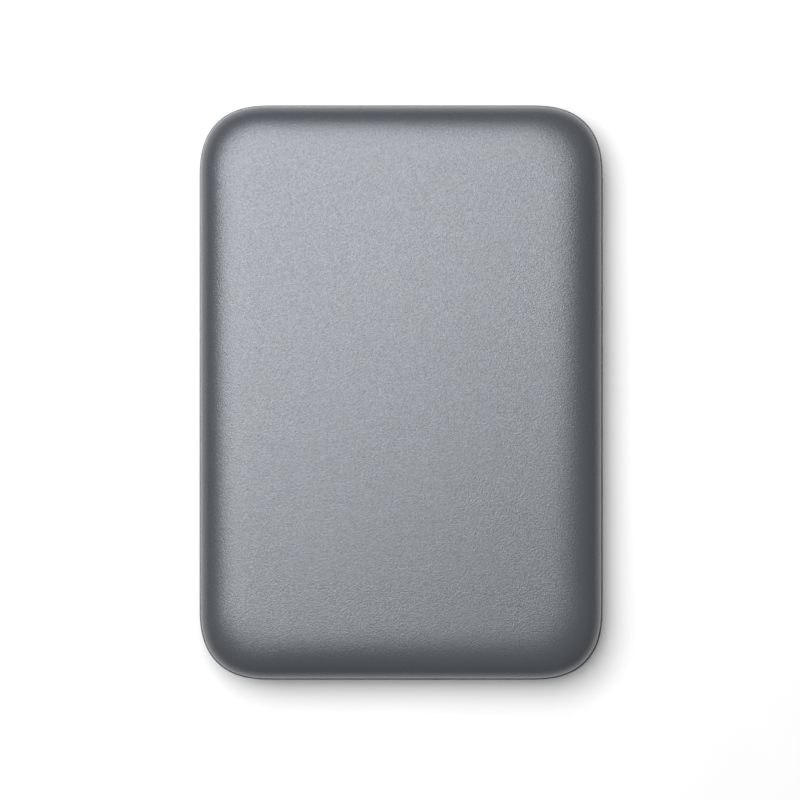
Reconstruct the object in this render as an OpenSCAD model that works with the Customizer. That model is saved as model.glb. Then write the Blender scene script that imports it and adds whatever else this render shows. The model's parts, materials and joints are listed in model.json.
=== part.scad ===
// Portable external hard drive: a pillow-shaped two-part case round a 2.5 inch drive.
// It lies flat: +X across, +Y towards the socket end, +Z up, origin on the table below its centre.

/* [Case] */
// Width of the case across its widest line
case_w = 80; // [79.5:0.5:84]
// Length of the case
case_l = 114; // [113.5:0.5:120]
// Thickness of the case without its feet
case_h = 14.4; // [14.2:0.2:18]
// Wall thickness of both shells
wall_t = 1.4; // [1.3:0.05:1.5]
// Width of the rolled edge, from the side to the flat face
roll_w = 13; // [11.5:0.5:14]
// Power of the rolled edge's curve, 2 for an ellipse
roll_power = 3.3; // [3.2:0.1:3.6]
// Reach of each plan corner along the sides
corner_reach = 14.6; // [13:0.2:15]
// Power of the plan corner's curve
corner_power = 2.6; // [2.5:0.1:3]
// How fast the plan corners tighten as the outline rolls in
corner_shrink = 0.6; // [0.5:0.1:0.8]

/* [Parting line] */
// Height of the parting line above the widest line
seam_rise = 1.3; // [1.2:0.1:1.6]
// How far the lower shell stands proud of the upper one
rim_step = 0.3; // [0.2:0.05:0.4]
// Open shadow gap between the two shells
seam_gap = 0.2; // [0.1:0.05:0.3]
// Height of the lower shell's inner lip
lip_h = 1; // [0.8:0.1:1.2]
// Thickness of the upper shell's skirt outside the lip
skirt_t = 0.55; // [0.5:0.05:0.6]
// Clearance round the lip and the snap hooks
lip_gap = 0.08; // [0.05:0.01:0.12]

/* [Snap hooks] */
// Width of each hook
hook_w = 8; // [6:0.5:9]
// Thickness of each hook
hook_t = 0.9; // [0.8:0.1:1]
// How far each hook catches
hook_catch = 0.45; // [0.3:0.05:0.5]
// Spacing of the hooks along each side, as a share of the case's length
hook_share = 0.2; // [0.18:0.01:0.21]

/* [Feet] */
// Radius of each rubber foot
foot_r = 4; // [3:0.5:5]
// How far each foot stands below the case
foot_proud = 0.4; // [0.3:0.1:0.8]
// Depth of the pocket that each foot sits in
foot_pocket = 0.5; // [0.3:0.1:0.6]
// Distance of the feet from the case's long sides
foot_side = 19; // [18:1:22]
// Distance of the feet from the case's ends
foot_end = 20; // [19:1:27]

/* [Drive] */
// Space between each side of the drive and the case's widest line
side_space = 5.075; // [5:0.025:5.2]
// Height of the drive
drive_h = 7; // [7:0.1:7.2]
// Corner radius of the drive
drive_r = 3; // [2.8:0.1:3.5]
// Space between the drive's far end and the case's widest line
drive_end_space = 5; // [4.8:0.1:5.2]
// Space for the socket board between the drive's plug end and the case's widest line
socket_space = 8.65; // [8.6:0.05:8.8]
// Thickness of the drive's pressed cover
lid_t = 0.5; // [0.4:0.05:0.5]
// Thickness of the gasket below the pressed cover
gasket_t = 0.2; // [0.15:0.05:0.3]
// Height of the casting's floor above the drive's underside
floor_top = 2; // [1.9:0.05:2]
// Depth of the recess for the controller board
board_recess = 1.1; // [1.05:0.05:1.15]
// Height of the side mounting holes above the drive's underside
side_hole_z = 3; // [2.9:0.1:3.1]
// Distance of the first mounting holes from the plug end
hole_near = 14; // [13.5:0.1:14.5]
// Distance of the second mounting holes from the far end
hole_far = 9.75; // [9.5:0.05:10.5]
// Distance of the bottom mounting holes from the drive's sides
hole_side = 4.065; // [3.9:0.005:4.2]

/* [Disks] */
// Outer radius of each disk, where the drive has room for it
disk_r = 32.5; // [32.3:0.05:32.6]
// Radius of each disk's hole
disk_bore_r = 10; // [9.9:0.05:10.1]
// Thickness of each disk
disk_t = 0.6; // [0.5:0.05:0.65]
// Number of disks
disk_count = 2; // [2:1:2]
// Running clearance between a disk's edge and the casting
disk_gap = 0.9; // [0.7:0.1:1]
// Wall of the casting beyond the disk pocket at the drive's end
casting_wall = 1.6; // [1.5:0.05:1.8]
// Least wall of the casting beyond the disk pocket at the drive's sides
casting_side = 1.5; // [1.4:0.02:1.52]

/* [Actuator] */
// Distance from the disks' edge to the actuator's pivot
pivot_clear = 7.04; // [6.9:0.02:7.2]
// Direction of the pivot from the spindle
pivot_dir = 115.5; // [115:0.1:116]
// How much shorter the arms are than the distance from the pivot to the spindle
arm_short = 8.54; // [8.4:0.02:8.7]
// Thickness of each arm
arm_t = 0.5; // [0.4:0.05:0.5]
// Clearance between an arm and a disk
arm_gap = 0.3; // [0.25:0.05:0.3]
// Direction of the voice coil from the pivot when parked
coil_dir = 118; // [117:0.5:119]
// Swing of the actuator from parked to the inner stop
swing = 37; // [30:1:37]
// Thickness of the voice coil
coil_t = 1.4; // [1:0.1:1.4]
// Thickness of each magnet
magnet_t = 0.6; // [0.5:0.05:0.6]
// Thickness of each yoke plate
yoke_t = 0.6; // [0.5:0.05:0.6]

/* [Socket end] */
// Height of the bridge board's underside above the widest line
bridge_drop = -2; // [-2.1:0.05:-1.9]
// Thickness of the bridge board
bridge_t = 1; // [0.8:0.1:1]
// Space between each end of the bridge board and the case's widest line
bridge_space = 10.5; // [10.2:0.1:11]
// Place of the socket across the case, as a share of its width
socket_share = 0.194; // [0.185:0.001:0.2]
// Width of the socket's metal shell
socket_w = 12.2; // [12:0.1:12.4]
// Height of the socket's metal shell
socket_h = 2.9; // [2.8:0.1:3]
// Depth of the socket's metal shell
socket_d = 5.6; // [5:0.1:5.8]
// Place of the serial plug across the drive, as a share of the drive's width
plug_share = -0.136; // [-0.143:0.001:-0.129]
// Width of the serial plug, as a share of the drive's width
plug_w_share = 0.478; // [0.472:0.001:0.481]
// Place of the status light across the case, as a share of its width
led_share = -0.05; // [-0.1:0.01:0.01]
// Radius of the light pipe
pipe_r = 0.7; // [0.5:0.05:0.8]

/* [Fasteners] */
// Shank radius of the small screws
screw_r = 0.75; // [0.6:0.05:0.8]
// Head radius of the small screws
screw_head_r = 1.5; // [1.3:0.05:1.6]
// Head thickness of the small screws
screw_head_t = 0.3; // [0.2:0.05:0.3]
// Clearance round each screw
screw_gap = 0.05; // [0.04:0.01:0.1]

/* [Hidden] */
$fn = 64;

case_grey = [0.56, 0.57, 0.59];
board_green = [0.1, 0.32, 0.2];
steel_grey = [0.72, 0.73, 0.75];

corner_steps = 16;
roll_steps = 11;
half_h = case_h / 2;
hook_pitch = hook_share * case_l;
foot_x = case_w / 2 - foot_side;
foot_y = case_l / 2 - foot_end;
drive_w = case_w - 2 * side_space;
drive_l = case_l - drive_end_space - socket_space;
hole_dx = drive_w - 2 * hole_side;
bridge_half = case_w / 2 - bridge_space;
socket_x = socket_share * case_w;
led_x = led_share * case_w;
plug_x = plug_share * drive_w;
plug_w = plug_w_share * drive_w;
mid_z = foot_proud + half_h;
seam_z = mid_z + seam_rise;
seam_edge = 0.15;
ring_size = 4 * (corner_steps + 1);

// Height of the rolled edge above the widest line, at an inset from the outline
function roll_z(inset, reach, rise) = inset >= reach ? rise
    : rise * pow(1 - pow(1 - max(inset, 0) / reach, roll_power), 1 / roll_power);

// Height of the middle of the wall above the widest line, at an inset from the outline
function wall_z(inset) =
    (roll_z(inset, roll_w, half_h) + roll_z(inset - wall_t, roll_w - wall_t, half_h - wall_t)) / 2;

function signed_pow(v, e) = sign(v) * pow(abs(v), e);

// One closed outline at an inset from the widest one and at a height
function outline(inset, z) =
    let(c = corner_reach - corner_shrink * inset,
        cx = case_w / 2 - inset - c,
        cy = case_l / 2 - inset - c)
    [for (q = [0:3]) for (k = [0:corner_steps])
        let(a = 90 * (q + k / corner_steps))
        [(q == 0 || q == 3 ? cx : -cx) + c * signed_pow(cos(a), 2 / corner_power),
         (q < 2 ? cy : -cy) + c * signed_pow(sin(a), 2 / corner_power),
         z]];

// Rolled edge from the widest line up (side 1) or down (side -1), as insets and heights
function roll(inset, reach, rise, side, from = 0) = [for (k = [0:roll_steps])
    let(a = from + (90 - from) * k / roll_steps)
    [inset + reach * (1 - pow(cos(a), 2 / roll_power)),
     mid_z + side * rise * pow(sin(a), 2 / roll_power)]];

// Angle at which the rolled edge stands at a height above the widest line
function roll_angle(height, rise) = asin(pow(height / rise, roll_power / 2));

function flip(list) = [for (i = [len(list) - 1:-1:0]) list[i]];

// Closed skin through outlines, each given as an inset and a height
module skin(steps) {
    points = [for (s = steps) each outline(s[0], s[1])];
    last = (len(steps) - 1) * ring_size;
    polyhedron(points, concat(
        [[for (j = [0:ring_size - 1]) j]],
        [[for (j = [ring_size - 1:-1:0]) last + j]],
        [for (i = [0:len(steps) - 2]) for (j = [0:ring_size - 1])
            let(a = i * ring_size + j,
                b = i * ring_size + (j + 1) % ring_size)
            each [[a, a + ring_size, b + ring_size], [a, b + ring_size, b]]]));
}

// Outline through points of one side of the x axis and their mirror images
module mirrored(half) {
    polygon(concat([for (p = half) [p[0], -p[1]]], flip(half)));
}

module rounded_rect(w, l, r) {
    square([w - 2 * r, l], center = true);
    square([w, l - 2 * r], center = true);
    for (x = [-1, 1], y = [-1, 1]) translate([x * (w / 2 - r), y * (l / 2 - r)]) circle(r);
}

module rounded_plate(w, l, r, h) {
    linear_extrude(h) rounded_rect(w, l, r);
}

// Ring sector between two radii and two directions
module sector(r_in, r_out, from, to, z, h) {
    rotate([0, 0, from]) rotate_extrude(angle = to - from)
        translate([r_in, z]) square([r_out - r_in, h]);
}

module tube(r_in, r_out, z, h) {
    translate([0, 0, z]) linear_extrude(h) difference() {
        circle(r_out);
        circle(r_in);
    }
}

// Case shells

lip_inset = rim_step + skirt_t + lip_gap;
rib_t = 0.9;
rib_h = 1;
bury = 0.4;
// Insets of a hook's two faces from the widest outline
hook_out = wall_t + lip_gap;
hook_in = hook_out + hook_t;
hook_tip_z = seam_z - 3.4;
catch_z = seam_z - 1.7;
catch_h = 1.2;

drive_y = -case_l / 2 + drive_end_space + drive_l / 2;
drive_z = mid_z - drive_h / 2;
plug_end = drive_y + drive_l / 2;
hole_ys = [plug_end - hole_near, plug_end - drive_l + hole_far];
grommet_z = drive_z + side_hole_z;
grommet_r = 2.9;
groove_r = 2.2;
grommet_len = 2.6;
groove_len = 1.3;
cradle_t = 1;
cradle_w = 9;
cradle_gap = 0.05;
cradle_x = drive_w / 2 + grommet_len / 2;

module base_skin() {
    skin(concat(
        flip(roll(0, roll_w, half_h, -1)),
        [[0, seam_z - seam_edge], [seam_edge, seam_z], [lip_inset, seam_z],
         [lip_inset + seam_edge / 2, seam_z + lip_h], [wall_t, seam_z + lip_h]],
        roll(wall_t, roll_w - wall_t, half_h - wall_t, -1)));
}

module cover_skin() {
    in_h = half_h - wall_t;
    out_start = roll_angle(seam_rise + seam_gap + seam_edge, half_h);
    in_start = roll_angle(seam_rise + lip_h + lip_gap, in_h);
    skin(concat(
        flip(roll(wall_t, roll_w - wall_t, in_h, 1, in_start)),
        [[rim_step + skirt_t, seam_z + lip_h + lip_gap],
         [rim_step + skirt_t, seam_z + seam_gap], [rim_step + seam_edge, seam_z + seam_gap]],
        roll(rim_step, roll_w - rim_step, half_h, 1, out_start)));
}

// Stiffening ribs on a flat inner face; each grows from the wall at z_from towards z_to
module rib_grid(z_from, z_to) {
    z0 = min(z_from, z_to);
    h = abs(z_to - z_from);
    for (x = [-1, 1]) translate([x * foot_x - rib_t / 2, -case_l / 2 + 2 * roll_w, z0])
        cube([rib_t, case_l - 4 * roll_w, h]);
    for (y = [-1:1]) translate([-case_w / 2 + roll_w + wall_t, y * foot_y * 0.75 - rib_t / 2, z0])
        cube([case_w - 2 * roll_w - 2 * wall_t, rib_t, h]);
}

// Places along the outline where a hook hangs, as a turn, a distance and a shift
hook_places = concat(
    [for (turn = [0, 180]) for (k = [-1:1]) [turn, case_w / 2, k * hook_pitch]],
    [for (k = [-1, 1]) [-90, case_l / 2, k * hook_pitch * 0.6]]);

// Hook in section: x is the inset from the widest outline, turned to point inwards
module hooks() {
    for (p = hook_places) rotate([0, 0, p[0]]) translate([p[1], p[2] + hook_w / 2, 0]) rotate([90, 0, 0])
        linear_extrude(hook_w) polygon([
            [-hook_in, mid_z + wall_z(hook_in)], [-hook_in, hook_tip_z],
            [-hook_out - 0.4, hook_tip_z], [-hook_out - 0.15, catch_z - catch_h],
            [-hook_out + hook_catch, catch_z - 0.3], [-hook_out + hook_catch, catch_z],
            [-hook_out, catch_z], [-hook_out, mid_z + wall_z(hook_out)]]);
}

// Pockets in the lower wall that the hooks catch in
module hook_pockets() {
    gap = 0.15;
    for (p = hook_places) rotate([0, 0, p[0]])
        translate([p[1] - hook_in, p[2] - hook_w / 2 - gap, catch_z - catch_h - gap])
            cube([hook_t + hook_catch + gap, hook_w + 2 * gap, catch_h + 2 * gap]);
}

// Plate under (side -1) or over (side 1) each grommet, notched to sit in its groove
module cradles(side) {
    far_z = mid_z + side * wall_z(case_w / 2 - cradle_x);
    width = side < 0 ? cradle_w : 2 * groove_r - 1;
    for (x = [-1, 1], y = hole_ys) difference() {
        translate([x * cradle_x - cradle_t / 2, y - width / 2, min(far_z, grommet_z)])
            cube([cradle_t, width, abs(far_z - grommet_z)]);
        translate([x * cradle_x - cradle_t, y, grommet_z]) rotate([0, 90, 0])
            cylinder(r = groove_r + cradle_gap, h = 2 * cradle_t);
    }
}

socket_z = mid_z + bridge_drop + bridge_t / 2 + 0.2;
socket_front = case_l / 2 - 0.5;
socket_clear = 0.35;
mouth_step = 0.6;
mouth_depth = 0.3;
pipe_z = mid_z + bridge_drop + bridge_t + pipe_r + 0.2;
pipe_gap = 0.05;
post_r = 1.2;
pin_r = 0.6;
post_x = bridge_half - post_r;
bridge_back = plug_end + 0.3;
bridge_front = case_l / 2 - wall_t - 1;
post_y = (bridge_back + bridge_front) / 2;
post_bottom = mid_z - wall_z(case_l / 2 - post_y);

module bridge_posts() {
    for (x = [-1, 1]) translate([x * post_x, post_y, 0]) {
        translate([0, 0, post_bottom]) cylinder(r = post_r, h = mid_z + bridge_drop - post_bottom);
        translate([0, 0, post_bottom])
            cylinder(r = pin_r, h = mid_z + bridge_drop + bridge_t + 0.3 - post_bottom);
    }
}

// Opening for the socket, with a shallow step round its mouth
module socket_opening() {
    w = socket_w + 2 * socket_clear;
    h = socket_h + 2 * socket_clear;
    translate([socket_x, case_l / 2 + 1, socket_z]) rotate([90, 0, 0]) {
        rounded_plate(w, h, 0.9, wall_t + 3);
        rounded_plate(w + 2 * mouth_step, h + mouth_step, 1.2, 1 + mouth_depth);
    }
}

module foot_places() {
    for (x = [-1, 1], y = [-1, 1]) translate([x * foot_x, y * foot_y, 0]) children();
}

module bottom_case() {
    color(case_grey) difference() {
        union() {
            base_skin();
            rib_grid(foot_proud + wall_t - bury, foot_proud + wall_t + rib_h);
            cradles(-1);
            bridge_posts();
        }
        hook_pockets();
        socket_opening();
        translate([led_x, case_l / 2 + 1, pipe_z]) rotate([90, 0, 0])
            cylinder(r = pipe_r + pipe_gap, h = wall_t + 3);
        foot_places() translate([0, 0, foot_proud - 1]) cylinder(r = foot_r + 0.05, h = foot_pocket + 1);
    }
}

module top_cover() {
    color(case_grey) {
        cover_skin();
        rib_grid(foot_proud + case_h - wall_t + bury, foot_proud + case_h - wall_t - rib_h);
        hooks();
        cradles(1);
    }
}

module foot(i) {
    soft = 0.25;
    color([0.12, 0.12, 0.13])
        translate([(i % 2 == 0 ? -1 : 1) * foot_x, (i < 2 ? -1 : 1) * foot_y, 0])
            rotate_extrude() polygon([[0, 0], [foot_r - soft, 0], [foot_r, soft],
                [foot_r, foot_proud + foot_pocket], [0, foot_proud + foot_pocket]]);
}

stud_r = 1.22;
shoulder_r = 1.5;
stud_depth = 2.6;

module grommet(i) {
    side = i % 2 == 0 ? -1 : 1;
    mid = grommet_len / 2;
    color([0.13, 0.13, 0.14])
        translate([side * drive_w / 2, hole_ys[i < 2 ? 0 : 1], grommet_z]) rotate([0, side * 90, 0])
            rotate_extrude() polygon([[shoulder_r + 0.03, 0], [grommet_r, 0],
                [grommet_r, mid - groove_len / 2], [groove_r, mid - groove_len / 2],
                [groove_r, mid + groove_len / 2], [grommet_r, mid + groove_len / 2],
                [grommet_r, grommet_len], [shoulder_r + 0.03, grommet_len]]);
}

module grommet_studs() {
    color(steel_grey) for (side = [-1, 1], y = hole_ys)
        translate([side * drive_w / 2, y, grommet_z]) rotate([0, side * 90, 0])
            rotate_extrude() polygon([[0, -stud_depth], [stud_r, -stud_depth], [stud_r, 0],
                [shoulder_r, 0], [shoulder_r, grommet_len], [shoulder_r + 0.7, grommet_len],
                [shoulder_r + 0.7, grommet_len + 0.3], [0, grommet_len + 0.3]]);
}

// Bridge board and its parts at the socket end

recept_gap = 0.15;
recept_back = 2.2;
recept_w = plug_w - 1.8;
blade_z = drive_z + 2.8;
blade_t = 1.2;
recept_body_z = blade_z - 2.1;
recept_body_h = 4.2;

module bridge_board() {
    z = mid_z + bridge_drop;
    color(board_green) difference() {
        translate([-bridge_half, bridge_back, z])
            cube([2 * bridge_half, bridge_front - bridge_back, bridge_t]);
        translate([plug_x - recept_w / 2 - recept_gap, bridge_back - 1, z - 1])
            cube([recept_w + 2 * recept_gap, recept_back + 1 + recept_gap, bridge_t + 2]);
        translate([socket_x - socket_w / 2 - recept_gap, socket_front - socket_d - recept_gap, z - 1])
            cube([socket_w + 2 * recept_gap, socket_d + 2, bridge_t + 2]);
        for (x = [-1, 1]) translate([x * post_x, post_y, z - 1]) cylinder(r = pin_r + 0.05, h = bridge_t + 2);
        for (x = [-1, 1]) translate([x * bridge_half, bridge_front, z - 1]) rotate([0, 0, 45])
            cube([2.6, 2.6, 2 * bridge_t + 4], center = true);
    }
}

bridge_top = mid_z + bridge_drop + bridge_t;
chip_room = 0.75;
chip_from = socket_x + socket_w / 2 + chip_room;
chip_w = post_x - post_r - chip_room - chip_from;
chip_l = 4.4;
chip_t = 0.8;

module bridge_chip() {
    color([0.08, 0.08, 0.09])
        translate([chip_from, post_y - chip_l / 2, bridge_top]) cube([chip_w, chip_l, chip_t]);
}

// Small parts along the strip behind the receptacle: each a place, a length and a height
module bridge_parts() {
    strip_y = bridge_back + recept_back + recept_gap + 0.3;
    color([0.6, 0.55, 0.45]) for (p = [[-22, 2.5, 0.7], [-18.4, 1.6, 0.5], [-15.6, 1.6, 0.5],
            [-12.4, 2, 1], [-9, 1, 0.5], [-7.4, 1, 0.5], [2.6, 2, 0.9]])
        translate([p[0], strip_y, bridge_top]) cube([p[1], 1.6, p[2]]);
}

shell_t = 0.3;

// Two-bay outline of the socket: a wide bay for the extra contacts and the narrower main one
module socket_outline(inset) {
    w = socket_w - 2 * inset;
    h = socket_h - 2 * inset;
    main = socket_w * 0.6 - inset;
    polygon([[-w / 2, -h / 2], [w / 2, -h / 2], [w / 2, h / 2 - 0.8], [w / 2 - 0.8, h / 2],
        [w / 2 - main + 0.8, h / 2], [w / 2 - main, h / 2 - 0.5], [w / 2 - main - 0.4, h / 2],
        [-w / 2 + 0.5, h / 2], [-w / 2, h / 2 - 0.5]]);
}

module socket_shell() {
    color(steel_grey) translate([socket_x, socket_front, socket_z]) rotate([90, 0, 0]) {
        linear_extrude(socket_d) difference() {
            socket_outline(0);
            socket_outline(shell_t);
        }
        translate([0, 0, socket_d - shell_t]) linear_extrude(shell_t) socket_outline(shell_t / 2);
    }
}

module socket_tongue() {
    h = 0.6;
    color([0.1, 0.1, 0.11])
        translate([socket_x - socket_w / 2 + 1, socket_front - socket_d + shell_t, socket_z - 0.2])
        difference() {
            cube([socket_w - 2, socket_d - shell_t - 1.2, h]);
            translate([socket_w * 0.34, 1.5, -1]) cube([0.8, socket_d, h + 2]);
        }
}

// Widths of the two blades and the key between them
signal_w = 0.275 * plug_w;
power_w = 0.581 * plug_w;
key_w = 0.06 * plug_w;

// Blades of the serial plug, grown by a gap for the slots that they go into
module plug_blades(depth, gap) {
    left = plug_x - (signal_w + power_w + key_w) / 2;
    for (b = [[0, power_w], [power_w + key_w, signal_w]])
        translate([left + b[0] - gap, 0, blade_z - blade_t / 2 - gap])
            cube([b[1] + 2 * gap, depth, blade_t + 2 * gap]);
}

plug_back = 5.2;
plug_base = 1.6;

module serial_receptacle() {
    nose = plug_back - plug_base - 0.3;
    color([0.1, 0.1, 0.11]) difference() {
        union() {
            translate([plug_x - recept_w / 2, bridge_back, recept_body_z])
                cube([recept_w, recept_back, recept_body_h]);
            translate([plug_x - recept_w / 2, plug_end - nose, blade_z - 1.5])
                cube([recept_w, nose + 0.5, 3]);
        }
        translate([0, plug_end - nose - 1, 0]) plug_blades(nose + 1.4, 0.1);
    }
}

module serial_plug() {
    color([0.1, 0.1, 0.11]) {
        difference() {
            translate([plug_x - plug_w / 2, plug_end - plug_back, drive_z + board_z + board_t])
                cube([plug_w, plug_back - 0.1, 3.4]);
            translate([plug_x - recept_w / 2 - 0.1, plug_end - plug_back + plug_base, drive_z])
                cube([recept_w + 0.2, plug_back, drive_h]);
        }
        translate([0, plug_end - plug_back + plug_base - bury, 0]) plug_blades(plug_back - plug_base, 0);
    }
}

led_d = 1.2;
led_y = bridge_front - 1.6;

module status_led() {
    color([0.95, 0.95, 0.9]) translate([led_x - 1.5, led_y - led_d, bridge_top]) cube([3, led_d, 1.6]);
}

module light_pipe() {
    color([0.9, 0.93, 0.95]) translate([led_x, led_y + 0.1, pipe_z]) rotate([-90, 0, 0])
        rotate_extrude() polygon([[0, 0], [pipe_r, 0], [pipe_r, case_l / 2 - led_y - 0.35],
            [pipe_r - 0.15, case_l / 2 - led_y - 0.2], [0, case_l / 2 - led_y - 0.2]]);
}

foil_t = 0.1;

module foil_shield() {
    color([0.8, 0.81, 0.83]) translate([0, drive_y + drive_l / 4 + 1, drive_z - foil_t])
        rounded_plate(drive_w - 4, drive_l / 2 - 4, 2, foil_t);
}

// Drive: everything below is placed from the drive's own centre and underside

// The mechanism is drawn round the spindle and shrinks in plan where the drive has less room
pivot_dist = disk_r + pivot_clear;
arm_len = pivot_dist - arm_short;
pivot_x = pivot_dist * cos(pivot_dir);
pivot_y = pivot_dist * sin(pivot_dir);
disk_pocket_r = disk_r + disk_gap;
pocket_past_pivot = 22;
plug_room = 7.6;
mech = min((drive_w - 2 * casting_side) / (2 * disk_pocket_r),
    (drive_l - casting_wall - plug_room) / (disk_pocket_r + pivot_y + pocket_past_pivot), 1);
spindle_y = -drive_l / 2 + casting_wall + mech * disk_pocket_r;
rim_top = drive_h - lid_t - gasket_t;
lid_z = drive_h - lid_t;
park_r = disk_r + 1.1;
park_dir = pivot_dir - 180
    + acos((pow(pivot_dist, 2) + pow(arm_len, 2) - pow(park_r, 2)) / (2 * pivot_dist * arm_len));

// Heights of the arms and the disks, from the floor up
arm_pitch = 2 * arm_gap + arm_t + disk_t;
arm_z0 = floor_top + arm_gap;
function arm_z(i) = arm_z0 + i * arm_pitch;
function disk_z(i) = arm_z0 + arm_t + arm_gap + i * arm_pitch;
stack_top = disk_z(disk_count - 1) + disk_t;

module at_drive() {
    translate([0, drive_y, drive_z]) children();
}

module at_spindle() {
    at_drive() translate([0, spindle_y, 0]) scale([mech, mech, 1]) children();
}

module at_pivot() {
    at_spindle() translate([pivot_x, pivot_y, 0]) children();
}

// Place in the drive's plan of a point given from the spindle
function from_spindle(x, y) = [mech * x, spindle_y + mech * y];

module at_arm() {
    at_pivot() rotate([0, 0, park_dir]) children();
}

corner_screw_in = 3.6;
side_screw_x = drive_w / 2 - 2.9;
cover_screw_places = concat(
    [for (x = [-1, 1], y = [-1, 1])
        [x * (drive_w / 2 - corner_screw_in), y * (drive_l / 2 - corner_screw_in)]],
    [[side_screw_x, from_spindle(0, 19)[1]], [-side_screw_x, from_spindle(0, 20.5)[1]]]);
board_back = spindle_y + mech * 22.8;
board_front = drive_l / 2 - 1.4;
board_screw_x = drive_w / 2 - 5.3;
board_screw_places = [[-board_screw_x, board_back + 1.3],
    from_spindle(filter_screw_u * cos(filter_dir), filter_screw_u * sin(filter_dir)),
    [board_screw_x, board_front - 2.4], [-board_screw_x, board_front - 2.4]];
cover_screw_depth = 2.6;
groove_depth = 0.15;
board_screw_depth = 1.6;
board_z = 0.2;
board_t = 0.8;
board_side = 2;

sleeve_r = 3.3;
boss_r = 4.9;
boss_top = floor_top + 0.7;
pivot_post_r = 1.6;
pivot_foot_r = 1.2;

// Pocket for the actuator, with its left side stepped clear of the side mounting hole
pocket_top = pivot_y + pocket_past_pivot;
module actuator_pocket() {
    polygon([[-24, 24.4], [19.5, 24.4], [20, pocket_top - 2], [18, pocket_top],
        [-28.5, pocket_top], [-30.3, pocket_top - 2], [-30.3, pocket_top - 8.1], [-32.4, pocket_top - 10.3],
        [-32.4, 30.2]]);
}

breather_x = 26.5;
breather_y = 46.2;
breather_r = 3;
breather_t = 0.8;
breather_hole_r = 0.5;
chip_pocket_x = 20.5;
chip_pocket_y = 35.2;
chip_pocket_w = 11;
chip_pocket_l = 22;
chip_pocket_h = 1.3;
// Depth below the disk stack's underside at which the casting's floor is hollowed
hollow_in = 2.5;
hole_boss_r = 2.9;
hole_boss_h = 0.5;
blind_hole_r = 1.25;
blind_hole_h = 1.5;
plug_room_h = 3.5;

filter_dir = 45;
filter_u = disk_pocket_r + 0.6;
filter_w = 9;
filter_t = 3;
filter_h = 3.6;
filter_gap = 0.1;
filter_screw_u = filter_u + filter_t + 1;

module screw_hole(z, h) {
    translate([0, 0, z]) cylinder(r = screw_r + screw_gap, h = h);
}

module base_casting() {
    color([0.7, 0.71, 0.72]) difference() {
        union() {
            difference() {
                at_drive() rounded_plate(drive_w, drive_l, drive_r, rim_top);
                at_spindle() translate([0, 0, floor_top]) cylinder(r = disk_pocket_r, h = drive_h, $fn = 96);
                at_spindle() translate([0, 0, floor_top]) linear_extrude(drive_h) actuator_pocket();
                at_ramp() translate([ramp_in - 1, -ramp_gap - ramp_from, floor_top])
                    cube([ramp_out + 1 + ramp_gap, ramp_w + 2 * ramp_gap, drive_h]);
                at_spindle() rotate([0, 0, filter_dir])
                    translate([disk_r - filter_t, -filter_w / 2 - filter_gap, floor_top]) cube([
                        filter_u - disk_r + 2 * filter_t + filter_gap, filter_w + 2 * filter_gap, drive_h]);
                at_spindle() translate([0, 0, -1])
                    cylinder(r = disk_r - hollow_in, h = board_recess + 1, $fn = 96);
                at_drive() translate([-drive_w / 2 + 1.5, board_back - 0.6, -1])
                    cube([drive_w - 3, drive_l, board_recess + 1]);
                at_spindle() translate([chip_pocket_x, chip_pocket_y, -1])
                    cube([chip_pocket_w, chip_pocket_l, board_recess + 1 + chip_pocket_h]);
                translate([plug_x - plug_w / 2 - 0.2, plug_end - plug_back - 0.2, drive_z - 1])
                    cube([plug_w + 0.4, plug_back + 2, 1 + board_recess + plug_room_h]);
                at_spindle() translate([breather_x, breather_y, rim_top - breather_t - 0.4])
                    cylinder(r = breather_r + 0.4, h = 2);
            }
            at_spindle() translate([0, 0, 0.3]) cylinder(r = boss_r, h = boss_top - 0.3);
            for (x = [-1, 1]) at_drive() translate([x * hole_dx / 2, drive_l / 2 - hole_near, 0])
                cylinder(r = hole_boss_r, h = board_recess + hole_boss_h);
            stop_posts(0);
        }
        at_spindle() translate([0, 0, -1]) cylinder(r = sleeve_r, h = drive_h);
        at_pivot() translate([0, 0, board_recess - 1]) cylinder(r = pivot_foot_r, h = drive_h);
        at_drive() for (p = cover_screw_places) translate([p[0], p[1], 0])
            screw_hole(rim_top - cover_screw_depth, drive_h);
        at_drive() for (p = board_screw_places) translate([p[0], p[1], 0])
            screw_hole(0, board_recess + board_screw_depth);
        for (x = [-1, 1], y = hole_ys) translate([x * (drive_w / 2 - stud_depth - 0.2), y, grommet_z])
            rotate([0, x * 90, 0]) cylinder(r = stud_r + 0.03, h = drive_w / 4);
        for (x = [-1, 1], y = hole_ys) translate([x * hole_dx / 2, y, drive_z - 1])
            cylinder(r = blind_hole_r, h = 1 + blind_hole_h);
    }
}

module drive_cover() {
    color([0.78, 0.79, 0.8]) difference() {
        at_drive() translate([0, 0, lid_z]) rounded_plate(drive_w - 0.6, drive_l - 0.6, drive_r - 0.3, lid_t);
        at_drive() for (p = concat(cover_screw_places, [from_spindle(pivot_x, pivot_y)]))
            translate([p[0], p[1], 0]) {
                screw_hole(lid_z - 1, lid_t + 2);
                translate([0, 0, drive_h - screw_head_t]) cylinder(r = screw_head_r + 0.2, h = 1);
            }
        at_spindle() tube(disk_r - 6, disk_r - 4, drive_h - groove_depth, 1);
        at_spindle() translate([breather_x, breather_y, lid_z - 1]) cylinder(r = breather_hole_r, h = 3);
    }
}

module cover_gasket() {
    color([0.15, 0.15, 0.16]) at_drive() translate([0, 0, rim_top]) linear_extrude(gasket_t) difference() {
        rounded_rect(drive_w - 0.8, drive_l - 0.8, drive_r - 0.4);
        rounded_rect(drive_w - 2.6, drive_l - 2.6, drive_r - 1.3);
    }
}

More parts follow.
